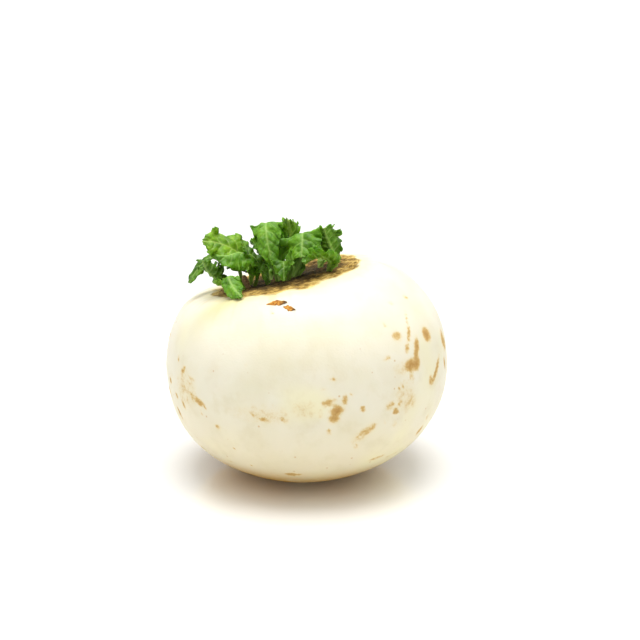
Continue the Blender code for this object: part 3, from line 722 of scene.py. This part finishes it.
def half_blade(
    side, S, T, half, bladed, seed, fold, curl, ruffle, teeth, tooth_count, waves=3
):
    """One side of a blade: how far out, up and forward of its midrib each point is, and its veins.

    The slope angle across it is fold + curl t + ruffle t^2 times two waves and a noise along the
    margin. The distances out and up are the running sums of the angle's cosine and sine. Sawteeth
    and a slow wobble change the half width. The blade swells between its side veins by
    1 - gap^2, where gap goes from 0 midway between two veins to 1 on a vein.
    """
    margin = np.stack(np.broadcast_arrays(S * 40 * MM, side * 17 * MM, seed * 31 * MM), -1)
    phase = S * tooth_count + 0.35 * noise(margin, 9 * MM, 60) + (side > 0) * 0.5
    saw = phase % 1.0
    tooth = 1.25 * teeth * (saw**0.7 * (1 - smooth_step(0.8, 1.0, saw)) - 0.3)
    tooth += 0.5 * teeth * ((2.7 * phase) % 1.0 - 0.5) + 0.1 * noise(margin, 1.4 * MM, 64)
    wobble = 0.26 * noise(margin, 10 * MM, 61)
    width = half[:, None] * (1 + bladed * (tooth * T**3 + wobble))
    turns_along = 2 * math.pi * waves * S + seed * 1.7 + side
    swing = 0.8 * np.sin(turns_along) + 0.7 * np.sin(2.3 * turns_along) * T
    swing += 0.8 * noise(margin, 4 * MM, 62)
    drift = noise(margin, 14 * MM, 63)
    angle = np.radians(fold + (curl * (1 + 0.6 * drift) + ruffle * swing * T) * T) * bladed
    step = width / (LANES - 1)
    x = np.cumsum(np.cos(angle) * step, axis=1) - np.cos(angle[:, :1]) * step[:, :1]
    z = np.cumsum(np.sin(angle) * step, axis=1) - np.sin(angle[:, :1]) * step[:, :1]
    gap = np.abs((phase - T * 1.1) % 1.0 - 0.5) * 2
    from_rib = T * width
    rib = np.exp(-((from_rib / RIB_HALF_WIDTH) ** 2))
    vein = smooth_step(0.7, 1.0, gap) * (1 - T**3) * bladed
    swell = (1 - gap**2) * (1 - rib) * np.sqrt(T) * bladed
    forward = bladed * tooth * T**3 * half[:, None] * 0.7
    return side * x, z + SWELL * swell, forward, from_rib, rib, vein


def leaf_mesh(heading, midrib, seed, twist=(0, 0), **blade):
    """A leaf as a closed shell on a grid along (s, 0 to 1) and across (t, 0 to 1 each side).

    The midrib is a smooth curve that carries two half blades, level with the crown but for their
    twist. Noise crumples and puckers the sheet. It is thin at its margins and thick at the stalk.
    """
    path = smooth_path(midrib, STATIONS) * MM
    heights = crown_height(path[:, 0], path[:, 1]) + path[:, 2]
    s = np.linspace(0, 1, STATIONS)
    heights -= ROOTED * (1 - smooth_step(0, 0.15, s))
    centres = crown_point(path[:, 0], path[:, 1], heights)
    half = np.maximum(path[:, 3], LEAST_HALF_WIDTH)
    along = unit(np.gradient(centres, axis=0))
    lean = math.radians(heading)
    level = np.cross(CROWN_AXIS, math.cos(lean) * CROWN_ACROSS + math.sin(lean) * CROWN_BACK)
    turned = np.radians(twist[0] + (twist[1] - twist[0]) * s)[:, None]
    level = unit(level - (along @ level)[:, None] * along)
    sides = np.cos(turned) * level + np.sin(turned) * np.cross(along, level)
    faces_up = np.cross(along, sides)

    S, T = np.meshgrid(s, np.linspace(0, 1, LANES), indexing="ij")
    bladed = smooth_step(0.02, 0.22, S)
    halves = [half_blade(side, S, T, half, bladed, seed, **blade) for side in (-1, 1)]
    x, z, forward, from_rib, rib, vein = (
        np.concatenate([left[:, :0:-1], right], axis=1) for left, right in zip(*halves)
    )
    S = np.concatenate([S[:, :0:-1], S], axis=1)
    T = np.concatenate([T[:, :0:-1], T], axis=1)
    bladed = smooth_step(0.02, 0.22, S)

    sheet = centres[:, None] + x[..., None] * sides[:, None] + z[..., None] * faces_up[:, None]
    sheet += forward[..., None] * along[:, None]
    crumple = np.stack([noise(sheet, 5 * MM, 70 + axis + 3 * seed, 2) for axis in range(3)], -1)
    sheet += CRUMPLE * crumple * (bladed * smooth_step(0, 0.6, T))[..., None]
    pucker = noise(sheet, 1.9 * MM, 90 + seed, 2) * bladed * smooth_step(0, 0.3, T)
    sheet += PUCKER * pucker[..., None] * sheet_normals(sheet)
    stalk = STALK_THICKNESS * (1 - 0.85 * smooth_step(0.05, 0.9, S))
    round_stalk = np.sqrt(np.maximum(0, 1 - (from_rib / (STALK_THICKNESS / 2)) ** 2))
    thick = BLADE_THICKNESS * (1 - 0.7 * T**4) * bladed + stalk * round_stalk * (1 - 0.5 * bladed)
    thick = np.maximum(thick, LEAST_THICKNESS)
    normals = sheet_normals(sheet)
    upper = sheet + normals * (0.5 * BLADE_THICKNESS - 0.08 * MM * vein)[..., None]
    lower = upper - normals * (thick + 0.12 * MM * vein)[..., None]
    points = np.concatenate([upper.reshape(-1, 3), lower.reshape(-1, 3)])
    values = {"vein": np.maximum(rib * (0.35 + 0.65 * bladed), 0.6 * vein), "stalk": 1 - bladed}
    return points, {name: np.tile(stored.ravel(), 2) for name, stored in values.items()}


def leaf_material(slot_name):
    """Young leaf: thin living tissue under a smooth cuticle, grown in weak light.

    It has a soft sheen, lets light through in yellow-green, and its veins are paler.
    """
    shaded, middle, lit, vein_colour = LEAF_GREENS[slot_name]
    made, tree, shader = new_material(f"Leaf tissue, {slot_name.split('_')[0]}")
    place = add(tree, "ShaderNodeTexCoord", {}, "Object")
    # Noise patches paint shade and light over the blade, from the shaded green to the lit green.
    patch = add(tree, "ShaderNodeTexNoise", {
        "Vector": place, "Scale": 1 / (4.5 * MM), "Detail": 3, "Roughness": 0.6})
    blade = add(tree, "ShaderNodeValToRGB", {
        "Fac": patch, "stops": [(0.24, shaded), (0.5, middle), (0.8, lit)]})
    vein = add(tree, "ShaderNodeAttribute", {"attribute_name": "vein"}, "Fac")
    vein = add(tree, "ShaderNodeMath", {"operation": "MULTIPLY", 0: vein, 1: 0.6})
    blade = add(tree, "ShaderNodeMix", {**COLOURS, 0: vein, 6: blade, 7: vein_colour}, 2)
    stalk = add(tree, "ShaderNodeAttribute", {"attribute_name": "stalk"}, "Fac")
    stalk = add(tree, "ShaderNodeMath", {"operation": "MULTIPLY", 0: stalk, 1: 0.7})
    blade = add(tree, "ShaderNodeMix", {**COLOURS, 0: stalk, 6: blade, 7: "#8FA650"}, 2)
    cells = add(tree, "ShaderNodeTexNoise", {
        "Vector": place, "Scale": 1 / (0.6 * MM), "Detail": 2})
    bump = add(tree, "ShaderNodeBump", {"Strength": 0.4, "Distance": 0.15 * MM, "Height": cells})
    give(tree, shader, {
        "Base Color": blade, "Roughness": 0.45, "Normal": bump, "IOR": 1.42,
        "Specular IOR Level": 0.35, "Subsurface Weight": 0.35,
        "Subsurface Radius": (0.6, 1.0, 0.15), "Subsurface Scale": 0.8 * MM})
    return made


leaf_materials = {slot_name: leaf_material(slot_name) for slot_name in LEAF_GREENS}
leaf_faces = shell_faces(STATIONS, 2 * LANES - 1).tolist()
for seed, (node, shape) in enumerate(LEAVES.items()):
    slot_name = shape.pop("slot")
    leaf_points, leaf_values = leaf_mesh(**shape, seed=seed)
    leaf = mesh_object(
        f"{node}_blade", leaf_points, leaf_faces, leaf_materials[slot_name], **leaf_values
    )
    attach(leaf, "root")
    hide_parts(node)

# ---------------------------------------------------------------------------------------------
# The bud stub: a short blunt bud beside the left shoot, wrapped in overlapping pinkish-brown bud
# scales that have dried at their edges.
# ---------------------------------------------------------------------------------------------
STUB_RADIUS = 1.5 * MM
STUB_HEIGHT = 5.5 * MM
STUB_PLACE = (-15.5 * MM, -6.5 * MM)
STUB_ROWS = 60
STUB_SIDES = 64


def closed_tube(rows, sides):
    """Faces of a tube of rings, with one flat face at each end."""
    rings = np.arange(rows * sides).reshape(rows, sides)
    beside = np.roll(rings, -1, axis=1)
    bands = np.stack([rings[:-1], beside[:-1], beside[1:], rings[1:]], axis=-1)
    return bands.reshape(-1, 4).tolist() + [rings[0, ::-1].tolist(), rings[-1].tolist()]


def bud_mesh():
    """A blunt bud: radius R (1 - h^4)^0.5 up its height, stepped where each scale wraps it."""
    h = np.linspace(0, 1, STUB_ROWS)
    turn = np.linspace(0, 2 * math.pi, STUB_SIDES, endpoint=False)
    H, A = np.meshgrid(h, turn, indexing="ij")
    wrap = (H * 3 + A / (2 * math.pi)) % 1.0
    radius = STUB_RADIUS * (1.05 - 0.1 * H) * np.sqrt(np.maximum(0.01, 1 - H**4))
    radius *= 1 + 0.1 * (1 - wrap) * (1 - H)
    across = STUB_PLACE[0] + radius * np.cos(A)
    back = STUB_PLACE[1] + radius * np.sin(A)
    foot = crown_height(*STUB_PLACE) - ROOTED
    points = crown_point(across, back, foot + H * (STUB_HEIGHT + ROOTED))
    points += noise(points, 1.2 * MM, 71)[..., None] * 0.08 * MM * (1 - H**4)[..., None]
    return points.reshape(-1, 3), (1 - wrap).ravel()


def bud_material():
    """Bud scales: thin dry papery skin over green, pinkish brown and matt."""
    made, tree, shader = new_material("Dried bud scales")
    place = add(tree, "ShaderNodeTexCoord", {}, "Object")
    streak = add(tree, "ShaderNodeTexNoise", {
        "Vector": place, "Scale": 1 / (1.0 * MM), "Detail": 4})
    tone = add(tree, "ShaderNodeValToRGB", {
        "Fac": streak, "stops": [(0.3, "#8F6A45"), (0.55, "#BE9568"), (0.75, "#D6B48A")]})
    wrap = add(tree, "ShaderNodeAttribute", {"attribute_name": "wrap"}, "Fac")
    edge = add(tree, "ShaderNodeMapRange", {**SOFT_ENDS, "Value": wrap, 1: 0.35, 2: 0.0, 4: 0.6})
    tone = add(tree, "ShaderNodeMix", {**COLOURS, 0: edge, 6: tone, 7: "#6E4E2C"}, 2)
    bump = add(tree, "ShaderNodeBump", {"Strength": 0.4, "Distance": 0.15 * MM, "Height": streak})
    give(tree, shader, {"Base Color": tone, "Roughness": 0.7, "Normal": bump})
    return made


stub_points, stub_wrap = bud_mesh()
stub_faces = closed_tube(STUB_ROWS, STUB_SIDES)
stub = mesh_object("bud_stub_scales", stub_points, stub_faces, bud_material(), wrap=stub_wrap)
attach(stub, "root")
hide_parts("bud_stub")

# ---------------------------------------------------------------------------------------------
# The dry scales: two withered leaf bases that lie on the shoulder in front of the crown, papery
# and amber, with dark torn ends.
# ---------------------------------------------------------------------------------------------
SCALE_ROWS = 70
SCALE_LANES = 25
SCALE_THICKNESS = 0.22 * MM
# Each: (across, back) of its middle, the way it points (degrees), length and half width in mm.
DRY_SCALES = {
    "dry_scale_large": (-2.0, -40.2, 352, 8.4, 1.15),
    "dry_scale_small": (2.6, -43.3, 335, 5.0, 1.0),
}


def scale_mesh(across, back, pointing, length, half_width, seed):
    """A curled flake on the shoulder: half width w (1 - |s|^1.6)^0.8 on a ragged edge.

    Its margins rise by 0.25 t^2 mm into a trough, and its end at s = 1 is lifted.
    """
    angle = math.radians(pointing)
    s = np.linspace(-1, 1, SCALE_ROWS)
    t = np.linspace(-1, 1, SCALE_LANES)
    S, T = np.meshgrid(s, t, indexing="ij")
    edge = np.stack([S * 5 * MM, np.sign(T) * 9 * MM, np.full_like(S, seed * MM)], -1)
    width = half_width * MM * np.maximum(0.04, 1 - np.abs(S) ** 1.6) ** 0.8
    width *= 1 + 0.42 * noise(edge, 1.7 * MM, 80 + seed, 2)
    x = S * length / 2 * MM
    y = T * width
    u = across * MM + x * math.cos(angle) - y * math.sin(angle)
    v = back * MM + x * math.sin(angle) + y * math.cos(angle)
    lift = 0.05 * MM + 0.25 * MM * T**2 + 0.4 * MM * smooth_step(0.3, 1, S)
    lift += 0.1 * MM * noise(np.stack([x, y * 3, np.zeros_like(x)], -1), 1.5 * MM, 82 + seed)
    sheet = crown_point(u, v, crown_height(u, v) + lift)
    normals = sheet_normals(sheet)
    normals *= np.sign(normals @ CROWN_AXIS)[..., None]
    thick = SCALE_THICKNESS * (1 - 0.7 * T**4)[..., None]
    points = np.concatenate([
        (sheet + normals * thick).reshape(-1, 3), (sheet - normals * thick * 0.5).reshape(-1, 3)
    ])
    return points, np.tile(S.ravel(), 2)


def scale_material():
    """Withered leaf base: brittle fibre, amber where it is thin and dark at its torn ends."""
    made, tree, shader = new_material("Withered amber leaf base")
    place = add(tree, "ShaderNodeTexCoord", {}, "Object")
    fleck = add(tree, "ShaderNodeTexNoise", {
        "Vector": place, "Scale": 1 / (1.1 * MM), "Detail": 4, "Roughness": 0.65})
    tone = add(tree, "ShaderNodeValToRGB", {
        "Fac": fleck, "stops": [(0.35, "#7A4812"), (0.5, "#B0731E"), (0.68, "#D39C40")]})
    along = add(tree, "ShaderNodeAttribute", {"attribute_name": "along"}, "Fac")
    torn = add(tree, "ShaderNodeMapRange", {**SOFT_ENDS, "Value": along, 1: 0.1, 2: 0.9, 4: 0.85})
    tone = add(tree, "ShaderNodeMix", {**COLOURS, 0: torn, 6: tone, 7: "#3F2710"}, 2)
    bump = add(tree, "ShaderNodeBump", {"Strength": 0.5, "Distance": 0.2 * MM, "Height": fleck})
    give(tree, shader, {
        "Base Color": tone, "Roughness": 0.7, "Normal": bump, "Specular IOR Level": 0.25})
    return made


dry_surface = scale_material()
scale_faces = shell_faces(SCALE_ROWS, SCALE_LANES).tolist()
for seed, (node, place_on_shoulder) in enumerate(DRY_SCALES.items()):
    scale_points, scale_along = scale_mesh(*place_on_shoulder, seed)
    flake = mesh_object(
        f"{node}_flake", scale_points, scale_faces, dry_surface, along=scale_along
    )
    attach(flake, "root")
    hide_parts(node)

# ---------------------------------------------------------------------------------------------
# The set: a white sweep of smooth acrylic, bright soft light from all round, and a camera that
# looks slightly down at the turnip.
# ---------------------------------------------------------------------------------------------
FLOOR_HALF = 6.0
SOFTBOX_BACK = 0.05
SOFTBOX_HEIGHT = 1.0
SOFTBOX_AIM = 0.05  # the height that it faces
CAMERA_TARGET = np.array([11.15, 2.06, 65.6]) * MM
CAMERA_DISTANCE = 641 * MM
CAMERA_PITCH = math.radians(16)
CAMERA_LENS = 85.0

# Cast acrylic sheet, polished: clean white, with a faint soft reflection under the root.
floor_surface, floor_tree, floor_shader = new_material("White acrylic sweep")
give(floor_tree, floor_shader, {
    "Base Color": "#FDFCF9", "Roughness": 0.2, "Coat Weight": 1.0, "Coat Roughness": 0.1})
floor_points = FLOOR_HALF * np.array([(-1, -1, 0), (1, -1, 0), (1, 1, 0), (-1, 1, 0)])
floor = mesh_object("floor", floor_points, [(0, 1, 2, 3)], floor_surface)

# An overhead softbox a little behind the turnip, turned to face its middle.
lamp = bpy.data.lights.new("overhead softbox", "AREA")
lamp.size = 0.8
lamp.energy = 10
softbox = bpy.data.objects.new("overhead softbox", lamp)
softbox.location = (0, SOFTBOX_BACK, SOFTBOX_HEIGHT)
softbox.rotation_euler = (math.atan2(SOFTBOX_BACK, SOFTBOX_HEIGHT - SOFTBOX_AIM), 0, math.pi)
bpy.context.scene.collection.objects.link(softbox)

# The room has a bright sweep level with the floor, dimmer walls and a bright ceiling.
world = bpy.data.worlds.new("White room")
world.use_nodes = True
room = world.node_tree
toward = add(room, "ShaderNodeTexCoord", {}, "Generated")
upward = add(room, "ShaderNodeSeparateXYZ", {"Vector": toward}, "Z")
sweep = add(room, "ShaderNodeMapRange", {"Value": upward, 1: 0.1, 2: 0.35, 3: 1.15, 4: 0.45})
ceiling = add(room, "ShaderNodeMapRange", {"Value": upward, 1: 0.35, 2: 1.0, 4: 1.0})
glow = add(room, "ShaderNodeMath", {"operation": "ADD", 0: sweep, 1: ceiling})
give(room, room.nodes["Background"], {"Color": "#FFFFFF", "Strength": glow})
bpy.context.scene.world = world
bpy.context.scene.view_settings.view_transform = "Standard"

camera = bpy.data.objects.new("camera", bpy.data.cameras.new("camera"))
camera.data.lens = CAMERA_LENS
camera.data.sensor_width = 36.0
camera.data.clip_start = 0.01
camera.location = CAMERA_TARGET + CAMERA_DISTANCE * np.array(
    [0, -math.cos(CAMERA_PITCH), math.sin(CAMERA_PITCH)]
)
camera.rotation_euler = (math.pi / 2 - CAMERA_PITCH, 0, 0)
bpy.context.scene.collection.objects.link(camera)
bpy.context.scene.camera = camera
